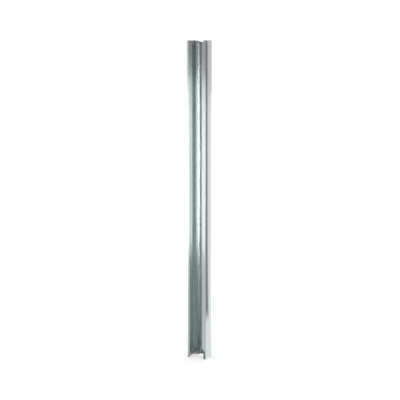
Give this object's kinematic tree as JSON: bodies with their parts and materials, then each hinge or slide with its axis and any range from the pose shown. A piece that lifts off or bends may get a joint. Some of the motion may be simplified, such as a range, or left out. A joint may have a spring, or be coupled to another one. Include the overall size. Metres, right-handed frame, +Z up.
{
  "type": "steel stud",
  "caption": "Upright lipped C-section stud of thin galvanised steel sheet, a web and two flanges with inturned lips, open along one side.",
  "frame": {"origin": "on the floor plane, at the middle of the foot's bounding rectangle", "axes": "+Z up along the stud, +X across the web, +Y out of the back of the web; the channel opens towards -Y"},
  "size_m": [0.075, 0.048, 1.13],
  "materials": {
    "galvanised_steel": "smooth bright zinc coating, rolled lengthwise"
  },
  "bodies": {
    "root": {"stud": "galvanised_steel"}
  },
  "joints": []
}
